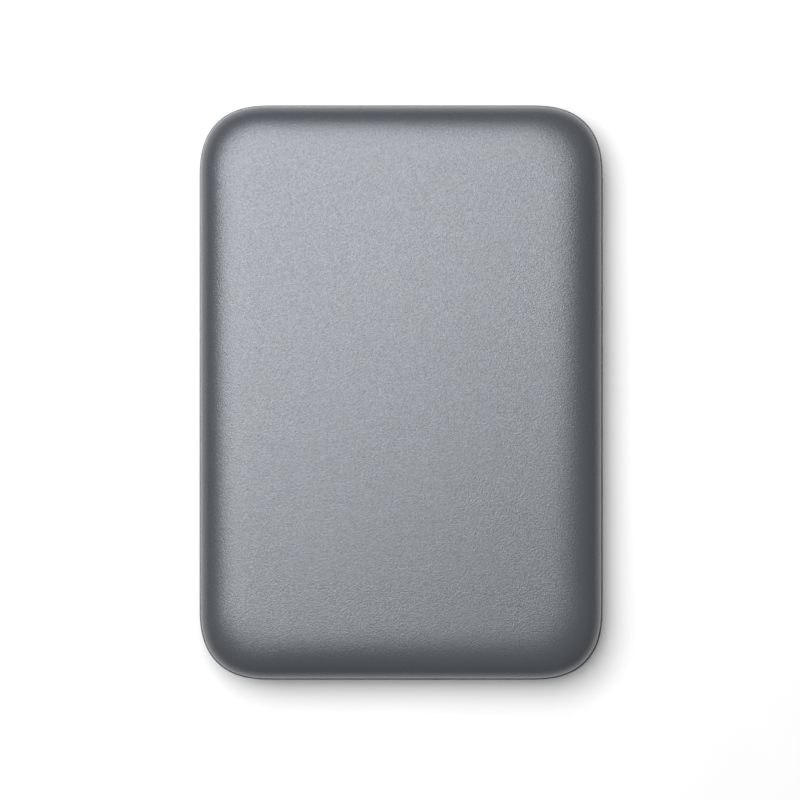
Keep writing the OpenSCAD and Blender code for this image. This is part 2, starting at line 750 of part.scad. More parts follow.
module small_screw(top, depth) {
    translate([0, 0, top - screw_head_t]) cylinder(r = screw_head_r, h = screw_head_t);
    translate([0, 0, top - depth]) cylinder(r = screw_r, h = depth);
}

module cover_screws() {
    color(steel_grey) {
        at_drive() for (p = cover_screw_places) translate([p[0], p[1], 0])
            small_screw(drive_h, cover_screw_depth + lid_t);
        at_pivot() small_screw(drive_h, 1.7);
    }
}

module platter(i) {
    color([0.85, 0.86, 0.88]) at_spindle() tube(disk_bore_r, disk_r, disk_z(i), disk_t, $fn = 96);
}

module disk_spacer() {
    color(steel_grey) at_spindle()
        tube(disk_bore_r, disk_bore_r + 1.6, disk_z(0) + disk_t, arm_pitch - disk_t);
}

shaft_r = 1.5;
run_gap = 0.02;
magnet_out = 8.7;
magnet_in = 7.9;
hub_top = stack_top - 0.05;
roof_t = 0.6;

module spindle_hub() {
    color([0.75, 0.76, 0.78]) at_spindle() difference() {
        rotate_extrude() polygon([[shaft_r, hub_top - roof_t], [magnet_out, hub_top - roof_t],
            [magnet_out, floor_top + 0.5], [disk_bore_r + 1.6, floor_top + 0.5],
            [disk_bore_r + 1.6, disk_z(0)], [disk_bore_r - 0.04, disk_z(0)],
            [disk_bore_r - 0.04, hub_top], [shaft_r, hub_top]]);
        for (a = [0:90:270]) rotate([0, 0, a]) translate([6, 0, 0]) cylinder(r = 0.5, h = drive_h);
    }
}

module spindle_shaft() {
    color(steel_grey) at_spindle() translate([0, 0, 1]) cylinder(r = shaft_r, h = hub_top - 1);
}

module bearing_sleeve() {
    color([0.8, 0.66, 0.35]) at_spindle() rotate_extrude() polygon([[0, 0.6], [sleeve_r, 0.6],
        [sleeve_r, hub_top - roof_t - 0.15], [shaft_r + run_gap, hub_top - roof_t - 0.15],
        [shaft_r + run_gap, 0.95], [0, 0.95]]);
}

module rotor_magnet() {
    color([0.35, 0.35, 0.37]) at_spindle() tube(magnet_in, magnet_out, floor_top + 0.55, 1.6);
}

core_z = boss_top;
core_h = 1.1;
teeth = 9;

tooth_w = 1;
shoe_in = 6.9;
shoe_out = magnet_in - 0.2;

// One laminated core in plan: a ring, its teeth and the shoe at the end of each tooth
module core_plan() {
    difference() {
        circle(boss_r);
        circle(sleeve_r + run_gap);
    }
    for (k = [0:teeth - 1]) rotate(k * 360 / teeth) {
        translate([boss_r - 0.3, -tooth_w / 2]) square([shoe_in - boss_r + 0.6, tooth_w]);
        intersection() {
            difference() {
                circle(shoe_out);
                circle(shoe_in);
            }
            polygon([[0, 0], [12, -3], [12, 3]]);
        }
    }
}

module stator_core() {
    color([0.45, 0.46, 0.48]) at_spindle() translate([0, 0, core_z]) linear_extrude(core_h) core_plan();
}

module stator_windings() {
    color([0.72, 0.4, 0.2]) at_spindle() for (k = [0:teeth - 1]) rotate([0, 0, k * 360 / teeth])
        difference() {
            translate([boss_r + 0.1, -0.95, core_z - 0.25]) cube([1.6, 1.9, core_h + 0.5]);
            translate([boss_r - 1, -tooth_w / 2, core_z]) cube([4, tooth_w, core_h]);
        }
}

clamp_t = 0.4;

module disk_clamp() {
    color(steel_grey) at_spindle() difference() {
        tube(2.2, disk_bore_r + 2.2, stack_top, clamp_t);
        for (a = [0:90:270]) rotate([0, 0, a]) translate([6, 0, 0]) cylinder(r = 0.6, h = drive_h);
        for (a = [45:90:315]) rotate([0, 0, a]) translate([6, 0, 0]) cylinder(r = 1, h = drive_h);
    }
}

module clamp_screws() {
    color(steel_grey) at_spindle() for (a = [0:90:270]) rotate([0, 0, a]) translate([6, 0, 0]) {
        translate([0, 0, stack_top + clamp_t]) cylinder(r = 1, h = 0.3);
        translate([0, 0, stack_top - 0.5]) cylinder(r = 0.48, h = clamp_t + 0.6);
    }
}

// Actuator

bearing_r = 3.6;
sleeve_out = 4.2;
block_r = 6.2;
block_top = arm_z(disk_count) + arm_t;

module pivot_shaft() {
    color(steel_grey) at_pivot() difference() {
        rotate_extrude() polygon([[0, board_recess + 0.1], [pivot_foot_r, board_recess + 0.1],
            [pivot_foot_r, floor_top], [pivot_post_r, floor_top], [pivot_post_r, lid_z], [0, lid_z]]);
        translate([0, 0, lid_z - 1.6]) cylinder(r = screw_r + 0.02, h = 2);
    }
}

bearing_h = 1.2;
race_t = 0.5;
ball_r = 0.43;
ball_count = 9;
ball_track_r = (pivot_post_r + run_gap + bearing_r) / 2;

module pivot_bearings() {
    color(steel_grey) at_pivot() for (z = [arm_z0, block_top - bearing_h]) {
        tube(pivot_post_r + run_gap, pivot_post_r + run_gap + race_t, z, bearing_h);
        tube(bearing_r - race_t, bearing_r, z, bearing_h);
        for (k = [0:ball_count - 1]) rotate([0, 0, 360 * k / ball_count])
            translate([ball_track_r, 0, z + bearing_h / 2]) sphere(r = ball_r);
    }
}

module pivot_sleeve() {
    color([0.65, 0.66, 0.68]) at_pivot() tube(bearing_r, sleeve_out, arm_z0, block_top - arm_z0);
}

// Half widths of an arm at its root, its waist and its tip, and of the window through it
arm_root = 5.6;
arm_waist = 4.6;
arm_waist_x = 9;
arm_tip = 2.2;
arm_tip_x = arm_len - 9.5;
arm_chamfer = 0.6;
window_from = 10;
window_to = 17;
window_wide = 2.4;
window_thin = 1.1;

// One arm in plan, pointing along x
module arm_plan() {
    difference() {
        mirrored([[0, arm_root], [arm_waist_x, arm_waist], [arm_tip_x - arm_chamfer, arm_tip],
            [arm_tip_x, arm_tip - arm_chamfer]]);
        mirrored([[window_from, window_wide], [window_to, window_thin]]);
        circle(sleeve_out);
    }
}

module arm_block() {
    color([0.72, 0.73, 0.75]) at_arm() {
        tube(sleeve_out, block_r, arm_z0, block_top - arm_z0);
        for (i = [0:disk_count]) translate([0, 0, arm_z(i)]) linear_extrude(arm_t) arm_plan();
    }
}

yoke_top_z = lid_z - 0.1 - yoke_t;
coil_mid = (floor_top + yoke_t + yoke_top_z) / 2;
coil_z = coil_mid - coil_t / 2;
holder_t = coil_t - 0.2;
holder_out = 18;
holder_half = 26;
coil_in = 8.6;
coil_out = 16.6;
coil_half = 20;
coil_wall = 2;

module coil_outline_solid(grow, z, h) {
    turn = coil_half + 4 * grow;
    sector(coil_in - grow, coil_out + grow, coil_dir - turn, coil_dir + turn, z, h);
}

module coil_holder() {
    color([0.2, 0.2, 0.22]) at_pivot() difference() {
        sector(block_r, holder_out, coil_dir - holder_half, coil_dir + holder_half,
            coil_mid - holder_t / 2, holder_t);
        coil_outline_solid(0, 0, drive_h);
    }
}

module voice_coil() {
    color([0.75, 0.42, 0.2]) at_pivot() difference() {
        coil_outline_solid(0, coil_z, coil_t);
        sector(coil_in + coil_wall, coil_out - coil_wall, coil_dir - coil_half / 2, coil_dir + coil_half / 2,
            0, drive_h);
    }
}

spring_t = 0.12;

// Heights of the four suspensions: under or over each arm, facing a disk
spring_levels = [for (i = [0:disk_count - 1]) each
    [disk_z(i) - arm_gap, disk_z(i) + disk_t + arm_gap - spring_t]];
slider_t = 0.15;
slider_l = 1.2;
slider_w = 0.9;
// Half widths and places along an arm of a suspension's root, beam and lift tab
spring_root = 1.5;
spring_root_x = arm_len - 13.2;
spring_wide = 2;
spring_wide_x = arm_len - 10;
spring_thin = 0.7;
tab_x = arm_len + 0.9;
tab_len = 2;
tab_half = 0.25;
spring_hole = [[-8.4, 0.9], [-5.6, 0.5]];

module spring_plan() {
    difference() {
        mirrored([[spring_root_x, spring_root], [spring_wide_x, spring_wide], [arm_len - 1, spring_thin],
            [tab_x, spring_thin], [tab_x, tab_half], [tab_x + tab_len, tab_half]]);
        mirrored([for (p = spring_hole) [arm_len + p[0], p[1]]]);
    }
}

module suspensions() {
    color([0.8, 0.8, 0.78]) at_arm() for (z = spring_levels) translate([0, 0, z]) linear_extrude(spring_t)
        spring_plan();
}

module head_sliders() {
    color([0.25, 0.25, 0.27]) at_arm() for (i = [0:disk_count - 1], up = [0, 1])
        translate([arm_len - slider_l / 2, -slider_w / 2, up == 0 ? disk_z(i) - arm_gap + spring_t
            : disk_z(i) + disk_t + arm_gap - spring_t - slider_t])
            cube([slider_l, slider_w, slider_t]);
}

magnet_from = coil_dir - swing - 21;
magnet_to = coil_dir + 21;
yoke_in = 7;
yoke_out = 19;
post_h = yoke_top_z - floor_top - yoke_t;
// Yoke posts, each as a direction and a distance from the pivot, clear of the coil's swing
post_far = 20;
post_near = 12;
yoke_posts = [[coil_dir - swing - 21, post_far], [coil_dir - 21, post_far], [coil_dir + swing, post_near]];
yoke_post_r = 1.1;
yoke_ear_r = 2.1;
yoke_shelf_r = 3;
yoke_turn = magnet_to - magnet_from + 6;

module yoke_plan() {
    difference() {
        union() {
            for (p = yoke_posts) rotate(p[0]) translate([p[1], 0])
                circle(p[1] < yoke_out ? yoke_shelf_r : yoke_ear_r);
            intersection() {
                circle(yoke_out);
                rotate(magnet_from - 3)
                    polygon(3 * yoke_out * [[0, 0], [1, 0], [cos(yoke_turn), sin(yoke_turn)]]);
            }
        }
        circle(yoke_in);
    }
}

module yoke_lower() {
    color([0.6, 0.61, 0.64]) at_pivot() {
        translate([0, 0, floor_top]) linear_extrude(yoke_t) yoke_plan();
        for (p = yoke_posts) rotate([0, 0, p[0]]) translate([p[1], 0, floor_top])
            cylinder(r = yoke_post_r, h = yoke_t + post_h);
    }
}

module yoke_upper() {
    color([0.6, 0.61, 0.64]) at_pivot() translate([0, 0, yoke_top_z]) linear_extrude(yoke_t) yoke_plan();
}

module magnet_lower() {
    color([0.78, 0.78, 0.8]) at_pivot()
        sector(coil_in - 0.4, coil_out + 0.6, magnet_from, magnet_to, floor_top + yoke_t, magnet_t);
}

module magnet_upper() {
    color([0.78, 0.78, 0.8]) at_pivot()
        sector(coil_in - 0.4, coil_out + 0.6, magnet_from, magnet_to, yoke_top_z - magnet_t, magnet_t);
}

stop_dir = coil_dir - swing - holder_half - 9;
stop_dist = 14;
stop_wall = 0.5;

// Inner stop's post in the casting; with grow it is the rubber sleeve round it
module stop_posts(grow) {
    at_pivot() rotate([0, 0, stop_dir]) translate([stop_dist, 0, floor_top - (grow > 0 ? 0 : bury)])
        cylinder(r = yoke_post_r, h = 3.2 + (grow > 0 ? 0 : bury));
}

module crash_stops() {
    color([0.25, 0.2, 0.16]) at_pivot() {
        rotate([0, 0, stop_dir]) translate([stop_dist, 0, 0])
            tube(yoke_post_r, yoke_post_r + stop_wall, coil_mid - 0.8, 1.6);
        rotate([0, 0, yoke_posts[2][0]]) translate([yoke_posts[2][1], 0, 0])
            tube(yoke_post_r, yoke_post_r + stop_wall, coil_mid - 0.8, 1.6);
    }
}

// The ramp stands under the lift tabs of the parked heads
tab_dist = tab_x + 1.1;
ramp_dir = atan2(pivot_y + tab_dist * sin(park_dir), pivot_x + tab_dist * cos(park_dir)) - 0.9;
ramp_in = disk_r + 0.6;
ramp_out = 3.8;
ramp_from = 2.4;
ramp_w = 3.6;
ramp_gap = 0.1;

module at_ramp() {
    at_spindle() rotate([0, 0, ramp_dir]) children();
}

// Ramp beside the disks: shelves between the disks and a slot for each lift tab
module load_ramp() {
    color([0.85, 0.83, 0.75]) at_ramp() difference() {
        union() {
            translate([ramp_in, -ramp_from, floor_top]) cube([ramp_out, ramp_w, 4.3]);
            for (z = [[floor_top, 0.65], [disk_z(0) + disk_t + 0.4, 0.3], [stack_top + 0.4, 0.5]])
                translate([ramp_in - 1.3, -ramp_from, z[0]]) cube([1.3 + bury, ramp_w, z[1]]);
        }
        for (z = spring_levels) translate([ramp_in - 2, -5, z - 0.1]) cube([4.3, 8, spring_t + 0.2]);
    }
}

flex_h = 2.6;
flex_t = 0.15;
flex_z = arm_z0 + 0.6;
// The flex cable's ends, from the pivot
flex_dir = 36;
flex_start_r = block_r + 1.25;
flex_from = [flex_start_r * cos(flex_dir), flex_start_r * sin(flex_dir)];
flex_to = [24.4, 13.1];
flex_bow = 1.5;
flex_steps = 16;

// Point along the flex cable's bowed middle line, shifted sideways
function flex_point(t, side) =
    let(d = flex_to - flex_from,
        n = [-d[1], d[0]] / norm(d),
        slope = [for (i = [0, 1]) d[i] - n[i] * flex_bow * cos(180 * t) * 3.1416],
        s = [-slope[1], slope[0]] / norm(slope))
    flex_from + d * t - n * flex_bow * sin(180 * t) + s * side;

module flex_cable() {
    color([0.75, 0.45, 0.15]) at_pivot() translate([0, 0, flex_z]) linear_extrude(flex_h)
        polygon(concat([for (k = [0:flex_steps]) flex_point(k / flex_steps, -flex_t / 2)],
            [for (k = [flex_steps:-1:0]) flex_point(k / flex_steps, flex_t / 2)]));
}

module flex_bracket() {
    color([0.3, 0.3, 0.32]) at_pivot() {
        translate([flex_to[0] - 1, flex_to[1] + 0.2, floor_top]) cube([8, 4, 0.8]);
        translate([flex_to[0] - 1, flex_to[1] + 0.2, floor_top]) cube([2.2, 1.2, 3.6]);
    }
}

module recirculation_filter() {
    color([0.93, 0.93, 0.9]) at_spindle() rotate([0, 0, filter_dir])
        translate([filter_u, -filter_w / 2, floor_top]) cube([filter_t, filter_w, filter_h]);
}

module breather_filter() {
    color([0.9, 0.9, 0.86]) at_spindle()
        translate([breather_x, breather_y, lid_z - breather_t]) cylinder(r = breather_r, h = breather_t);
}

module controller_board() {
    color(board_green) difference() {
        at_drive() translate([-drive_w / 2 + board_side, board_back, board_z])
            cube([drive_w - 2 * board_side, board_front - board_back, board_t]);
        for (x = [-1, 1]) at_drive() translate([x * hole_dx / 2, drive_l / 2 - hole_near, -1])
            cylinder(r = hole_boss_r + 0.4, h = board_t + 3);
        at_drive() for (p = board_screw_places) translate([p[0], p[1], 0]) screw_hole(-1, 4);
    }
}

chip_h = 0.9;
// Chips in their pocket: place and size of each as shares of the pocket's width and length
chip_plan = [[0.03, 0.56, 0.6, 0.41], [0.05, 0.28, 0.64, 0.22], [0.22, 0.02, 0.45, 0.22]];

module controller_chips() {
    color([0.08, 0.08, 0.09]) at_spindle()
        translate([chip_pocket_x, chip_pocket_y, board_z + board_t]) for (c = chip_plan)
            translate([c[0] * chip_pocket_w, c[1] * chip_pocket_l, 0])
                cube([c[2] * chip_pocket_w, c[3] * chip_pocket_l, chip_h]);
}

module board_screws() {
    color(steel_grey) at_drive() for (p = board_screw_places)
        translate([p[0], p[1], board_z]) rotate([180, 0, 0]) {
        cylinder(r = screw_head_r, h = board_z - 0.02);
        translate([0, 0, -board_t - board_screw_depth + 0.3])
            cylinder(r = screw_r, h = board_t + board_screw_depth - 0.2);
    }
}

top_cover();
bottom_case();
foot(0);  // foot_1
foot(1);  // foot_2
foot(2);  // foot_3
foot(3);  // foot_4
grommet(0);  // grommet_1
grommet(1);  // grommet_2
grommet(2);  // grommet_3
grommet(3);  // grommet_4
grommet_studs();
bridge_board();
bridge_chip();
bridge_parts();
socket_shell();
socket_tongue();
serial_receptacle();
status_led();
light_pipe();
foil_shield();
base_casting();
drive_cover();
cover_gasket();
cover_screws();
platter(0);  // platter_1
platter(1);  // platter_2
disk_spacer();
spindle_hub();
spindle_shaft();
bearing_sleeve();
rotor_magnet();
stator_core();
stator_windings();
disk_clamp();
clamp_screws();
pivot_shaft();
pivot_bearings();
pivot_sleeve();
arm_block();
coil_holder();
voice_coil();
suspensions();
head_sliders();
magnet_lower();
magnet_upper();
yoke_lower();
yoke_upper();
load_ramp();
crash_stops();
flex_cable();
flex_bracket();
recirculation_filter();
breather_filter();
controller_board();
controller_chips();
serial_plug();
board_screws();
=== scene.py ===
"""Looks of the portable external hard drive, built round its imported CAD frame.

Sizes are in millimetres and repeat the CAD's own, in its frame: +X right, +Y to the socket end, +Z up.
"""

import json
from math import asin, cos, degrees, pi, radians, sin, tan

import bmesh
import bpy
from mathutils import Matrix, Vector


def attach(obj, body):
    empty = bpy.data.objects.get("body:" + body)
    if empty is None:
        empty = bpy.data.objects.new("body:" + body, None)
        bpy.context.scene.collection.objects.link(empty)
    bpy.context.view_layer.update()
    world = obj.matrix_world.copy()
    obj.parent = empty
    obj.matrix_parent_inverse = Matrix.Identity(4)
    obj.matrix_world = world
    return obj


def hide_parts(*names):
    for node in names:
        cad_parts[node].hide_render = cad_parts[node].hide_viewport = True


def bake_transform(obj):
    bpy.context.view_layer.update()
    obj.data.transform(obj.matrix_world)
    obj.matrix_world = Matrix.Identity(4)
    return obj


MM = 0.001

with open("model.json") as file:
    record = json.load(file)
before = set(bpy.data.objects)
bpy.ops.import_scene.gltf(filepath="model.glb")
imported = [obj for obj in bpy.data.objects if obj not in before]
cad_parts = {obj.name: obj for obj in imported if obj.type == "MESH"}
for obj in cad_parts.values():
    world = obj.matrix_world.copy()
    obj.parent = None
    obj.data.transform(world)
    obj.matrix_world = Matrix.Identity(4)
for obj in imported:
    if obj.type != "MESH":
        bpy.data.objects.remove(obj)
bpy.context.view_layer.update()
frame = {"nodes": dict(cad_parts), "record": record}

# Case: its outline, walls, rolled edges and parting line
CASE_W, CASE_L, CASE_H = 80.0, 114.0, 14.4
WALL = 1.4
ROLL_W, ROLL_POWER = 13.0, 3.3
CORNER_REACH, CORNER_POWER, CORNER_SHRINK = 14.6, 2.6, 0.6
FOOT_PROUD = 0.4
HALF_H = CASE_H / 2
MID_Z = FOOT_PROUD + HALF_H
SEAM_Z = MID_Z + 1.3
RIM_STEP, SEAM_GAP, SEAM_EDGE = 0.3, 0.2, 0.15
LIP_H, SKIRT_T, LIP_GAP = 1.0, 0.55, 0.08
CORNER_STEPS, SIDE_STEPS, ROLL_STEPS = 40, 12, 44
FLAT_STEP = 0.6

# Inside the case
RIB_T, RIB_H, BURY = 0.9, 1.0, 0.4
RIB_PITCH = 27.75
HOOK_W, HOOK_T, HOOK_CATCH, HOOK_PITCH = 8.0, 0.9, 0.45, 22.8
HOOK_OUT = WALL + LIP_GAP
HOOK_IN = HOOK_OUT + HOOK_T
HOOK_TIP_Z, CATCH_Z, CATCH_H = SEAM_Z - 3.4, SEAM_Z - 1.7, 1.2
POCKET_GAP = 0.15
CRADLE_X, CRADLE_YS, CRADLE_T, CRADLE_W = 36.225, (34.35, -42.25), 1.0, 9.0
GROMMET_Z, GROOVE_R, CRADLE_GAP = 7.1, 2.2, 0.05
POST_X, POST_Y, POST_R, PIN_R = 28.3, 51.625, 1.2, 0.6
BRIDGE_Z, BRIDGE_T, PIN_PROUD = 5.6, 1.0, 0.3

# Feet
FOOT_R, FOOT_POCKET, FOOT_X, FOOT_Y = 4.0, 0.5, 21.0, 37.0
FOOT_GAP, FOOT_SOFT = 0.05, 0.25
FOOT_DISH, DISH_DEPTH, DISH_SLOPE = 1.2, 0.06, 0.4

# Socket and status light
SOCKET_X, SOCKET_Z, SOCKET_W, SOCKET_H, SOCKET_D = 15.52, 6.3, 12.2, 2.9, 5.6
SOCKET_FRONT, SOCKET_CLEAR, SHELL_T = CASE_L / 2 - 0.5, 0.35, 0.3
SOCKET_BACK = SOCKET_FRONT - SOCKET_D
MOUTH_R, MOUTH_STEP, MOUTH_DEPTH, MOUTH_EASE = 0.9, 0.6, 0.3, 0.15
TONGUE_Z, TONGUE_BACK = SOCKET_Z - 0.2, 1.2
CONTACT_W, CONTACT_PROUD, CONTACT_BACK = 0.3, 0.04, 0.35
PIPE_X, PIPE_Z, PIPE_HOLE_R, PIPE_EASE = -4.0, 7.5, 0.75, 0.25
CUT_PAST = 1.0

# Flex cable, from the actuator's pivot
PIVOT = Vector((-17.0224, 18.6882))
BLOCK_R, FLEX_START, FLEX_DIR, FLEX_END = 6.2, 1.25, 36, Vector((24.4, 13.1))
FLEX_LOW, FLEX_H, FLEX_T, FLEX_BOW, FLEX_STEPS = 7.0, 2.6, 0.15, 1.5, 60


# Outlines of the case


def signed_pow(v, e):
    return (1 if v >= 0 else -1) * abs(v) ** e


def outline(inset, z):
    """One closed loop round the case at an inset from its widest line and at a height."""
    c = CORNER_REACH - CORNER_SHRINK * inset
    cx, cy = CASE_W / 2 - inset - c, CASE_L / 2 - inset - c
    corners = []
    for q in range(4):
        sx, sy = (1 if q in (0, 3) else -1), (1 if q < 2 else -1)
        angles = [radians(90 * (q + k / CORNER_STEPS)) for k in range(CORNER_STEPS + 1)]
        corners.append([
            (
                sx * cx + c * signed_pow(cos(a), 2 / CORNER_POWER),
                sy * cy + c * signed_pow(sin(a), 2 / CORNER_POWER),
            )
            for a in angles
        ])
    loop = []
    for q in range(4):
        loop += corners[q]
        (x0, y0), (x1, y1) = corners[q][-1], corners[(q + 1) % 4][0]
        loop += [
            (x0 + (x1 - x0) * k / SIDE_STEPS, y0 + (y1 - y0) * k / SIDE_STEPS)
            for k in range(1, SIDE_STEPS)
        ]
    return [(x, y, z) for x, y in loop]


def roll(inset, reach, rise, side, start=0.0):
    """Insets and heights along the rolled edge and just onto the flat, up (side 1) or down (side -1)."""
    steps = []
    for k in range(ROLL_STEPS + 1):
        a = radians(start + (90 - start) * k / ROLL_STEPS)
        steps.append((
            inset + reach * (1 - max(cos(a), 0) ** (2 / ROLL_POWER)),
            MID_Z + side * rise * sin(a) ** (2 / ROLL_POWER),
        ))
    return steps + [(inset + reach + FLAT_STEP, MID_Z + side * rise)]


def roll_angle(height, rise):
    """Angle, in degrees, at which the rolled edge stands at a height above the widest line."""
    return degrees(asin((height / rise) ** (ROLL_POWER / 2)))


def roll_z(inset, reach, rise):
    """Height of the rolled edge above the widest line."""
    return rise * (1 - (1 - min(inset / reach, 1)) ** ROLL_POWER) ** (1 / ROLL_POWER)


def wall_z(inset):
    """Height of the middle of the wall above the widest line."""
    return (roll_z(inset, ROLL_W, HALF_H) + roll_z(inset - WALL, ROLL_W - WALL, HALF_H - WALL)) / 2


# Closed bodies, each as its points in millimetres and its faces


def loft(rings):
    """Body through closed rings of equal length, with its two ends capped."""
    n = len(rings[0])
    points = [p for ring in rings for p in ring]
    faces = [
        (i * n + j, i * n + (j + 1) % n, (i + 1) * n + (j + 1) % n, (i + 1) * n + j)
        for i in range(len(rings) - 1) for j in range(n)
    ]
    faces += [tuple(range(n))[::-1], tuple(range(len(points) - n, len(points)))]
    return points, faces


def skin(steps):
    """Skin through outlines of the case, each given as an inset and a height."""
    return loft([outline(inset, z) for inset, z in steps])


def prism(plan, z0, z1):
    return loft([[(x, y, z) for x, y in plan] for z in (z0, z1)])


def box(x0, x1, y0, y1, z0, z1):
    return prism([(x0, y0), (x1, y0), (x1, y1), (x0, y1)], z0, z1)


def disc(r, n=48):
    return [(r * cos(2 * pi * k / n), r * sin(2 * pi * k / n)) for k in range(n)]


def lathe(profile, n=96):
    """Body turned through radii and heights, with a flat face at each end."""
    return loft([[(r * x, r * y, z) for x, y in disc(1, n)] for r, z in profile])


def rounded(points, radii, n=5):
    """Plan with each corner rounded to its radius, the points going round it once."""
    plan = []
    for i, (corner, r) in enumerate(zip(points, radii)):
        c = Vector(corner)
        a = (Vector(points[i - 1]) - c).normalized()
        b = (Vector(points[(i + 1) % len(points)]) - c).normalized()
        half = a.angle(b) / 2
        centre = c + (a + b).normalized() * (r / sin(half))
        start, end = c + a * (r / tan(half)) - centre, c + b * (r / tan(half)) - centre
        plan += [tuple(centre + start.slerp(end, k / n)) for k in range(n + 1)]
    return plan


def rounded_rect(w, h, r):
    return rounded([(-w / 2, -h / 2), (w / 2, -h / 2), (w / 2, h / 2), (-w / 2, h / 2)], [r] * 4)


def moved(body, matrix):
    return [tuple(matrix @ Vector(p)) for p in body[0]], body[1]


def at(body, x, y):
    return moved(body, Matrix.Translation((x, y, 0)))


def facing_back(plan, x, z, y):
    """Ring of a plan stood up at a place on the socket end."""
    return [(x + u, y, z + v) for u, v in plan]


# Objects


def new_object(name, data):
    obj = bpy.data.objects.new(name, data)
    bpy.context.scene.collection.objects.link(obj)
    return obj


def smooth(mesh, crease):
    mesh.shade_smooth()
    mesh.set_sharp_from_angle(angle=radians(crease))


def mesh_of(name, bodies, crease=35.0):
    """Object from bodies, smooth but for edges sharper than crease."""
    mesh = bpy.data.meshes.new(name)
    bm = bmesh.new()
    for points, faces in bodies:
        verts = [bm.verts.new(Vector(p) * MM) for p in points]
        for face in faces:
            bm.faces.new([verts[i] for i in face])
    bmesh.ops.recalc_face_normals(bm, faces=bm.faces)
    bm.to_mesh(mesh)
    bm.free()
    smooth(mesh, crease)
    return new_object(name, mesh)


def carve(obj, added, cut, crease=35.0):
    """Joins bodies to an object and cuts others from it, for good."""
    tools = []
    for operation, bodies in (("UNION", added), ("DIFFERENCE", cut)):
        for body in bodies:
            tool = mesh_of("tool", [body])
            step = obj.modifiers.new("tool", "BOOLEAN")
            step.operation, step.solver, step.object = operation, "MANIFOLD", tool
            tools.append(tool)
    bpy.context.view_layer.update()
    mesh = bpy.data.meshes.new_from_object(obj.evaluated_get(bpy.context.evaluated_depsgraph_get()))
    obj.modifiers.clear()
    obj.data = mesh
    for tool in tools:
        bpy.data.objects.remove(tool)
    smooth(mesh, crease)


# Materials


class Nodes:
    """A material's node tree, with short calls to add and join nodes."""

    def __init__(self, name):
        self.mat = bpy.data.materials.new(name)
        self.mat.use_nodes = True
        self.tree = self.mat.node_tree
        self.shader = self.tree.nodes["Principled BSDF"]
        coords = self.tree.nodes.new("ShaderNodeTexCoord")
        self.place = coords.outputs["Object"]

    def add(self, kind, **values):
        node = self.tree.nodes.new(kind)
        for key, value in values.items():
            if isinstance(value, bpy.types.NodeSocket):
                self.tree.links.new(value, node.inputs[key])
            elif key in node.inputs:
                node.inputs[key].default_value = value
            else:
                setattr(node, key, value)
        return node

    def noise(self, size, detail=2.0, roughness=0.5, stretch=None):
        """Noise whose largest features are size millimetres across."""
        place = self.place
        if stretch is not None:
            mapped = self.add("ShaderNodeMapping", Vector=place)
            mapped.inputs["Scale"].default_value = stretch
            place = mapped.outputs["Vector"]
        scale = 1 / (size * MM)
        node = self.add("ShaderNodeTexNoise", Vector=place, Scale=scale, Detail=detail, Roughness=roughness)
        return node.outputs["Fac"]

    def wave(self, size):
        """Bands along Z, size millimetres apart."""
        node = self.add("ShaderNodeTexWave", Vector=self.place, Scale=1 / (size * MM), bands_direction="Z")
        return node.outputs["Fac"]

    def between(self, factor, low, high):
        node = self.add("ShaderNodeMapRange", Value=factor)
        node.inputs["To Min"].default_value = low
        node.inputs["To Max"].default_value = high
        return node.outputs["Result"]

    def colours(self, factor, *stops):
        ramp = self.add("ShaderNodeValToRGB", Fac=factor)
        ramp.color_ramp.elements[0].position = stops[0][0]
        ramp.color_ramp.elements[-1].position = stops[-1][0]
        for position, _ in stops[1:-1]:
            ramp.color_ramp.elements.new(position)
        for element, (_, colour) in zip(ramp.color_ramp.elements, stops):
            element.color = (*colour, 1)
        return ramp.outputs["Color"]

    def bump(self, height, depth):
        """Bump of a height field, depth in millimetres."""
        return self.add("ShaderNodeBump", Height=height, Distance=depth * MM, Strength=1.0).outputs["Normal"]

    def set(self, name, value):
        if isinstance(value, bpy.types.NodeSocket):
            self.tree.links.new(value, self.shader.inputs[name])
        else:
            self.shader.inputs[name].default_value = value


def tinted(colour, share):
    return tuple(min(1, c * share) for c in colour)


def moulded_plastic(name, colour, rough, grain, depth, drift=0.03):
    """Injection-moulded plastic: a spark-eroded grain and a slow drift in tone."""
    m = Nodes(name)
    slow = m.noise(30, 3)
    m.set("Base Color", m.colours(slow, (0.3, tinted(colour, 1 - drift)), (0.7, tinted(colour, 1 + drift))))
    fine = m.noise(grain, 3, 0.6)
    m.set("Roughness", m.between(fine, rough - 0.06, rough + 0.06))
    m.set("IOR", 1.5)
    m.set("Normal", m.bump(fine, depth))
    return m


def case_plastic():
    """Satin shell plastic: dark under a soft sheen, with a fine spark-eroded grain whose pits shine less."""
    m = moulded_plastic("case_plastic", (0.052, 0.057, 0.065), 0.305, 0.3, 0.05)
    m.set("IOR", 1.58)
    m.set("Specular IOR Level", m.between(m.noise(0.34, 2, 0.5), 0.25, 0.75))
    m.set("Specular Tint", (0.92, 0.95, 1.0, 1.0))
    return m.mat


def soft_rubber(name):
    m = moulded_plastic(name, (0.03, 0.03, 0.032), 0.82, 0.5, 0.02, 0.1)
    m.set("Specular IOR Level", 0.3)
    return m.mat


def brushed_metal(name, colour, rough, stretch=(1, 12, 1), size=0.6):
    m = Nodes(name)
    grain = m.noise(size, 4, 0.6, stretch)
    blotch = m.noise(9, 3)
    m.set("Base Color", m.colours(blotch, (0.35, tinted(colour, 0.93)), (0.65, tinted(colour, 1.04))))
    m.set("Metallic", 1.0)
    m.set("Roughness", m.between(grain, rough - 0.07, rough + 0.09))
    m.set("Normal", m.bump(grain, 0.006))
    return m.mat


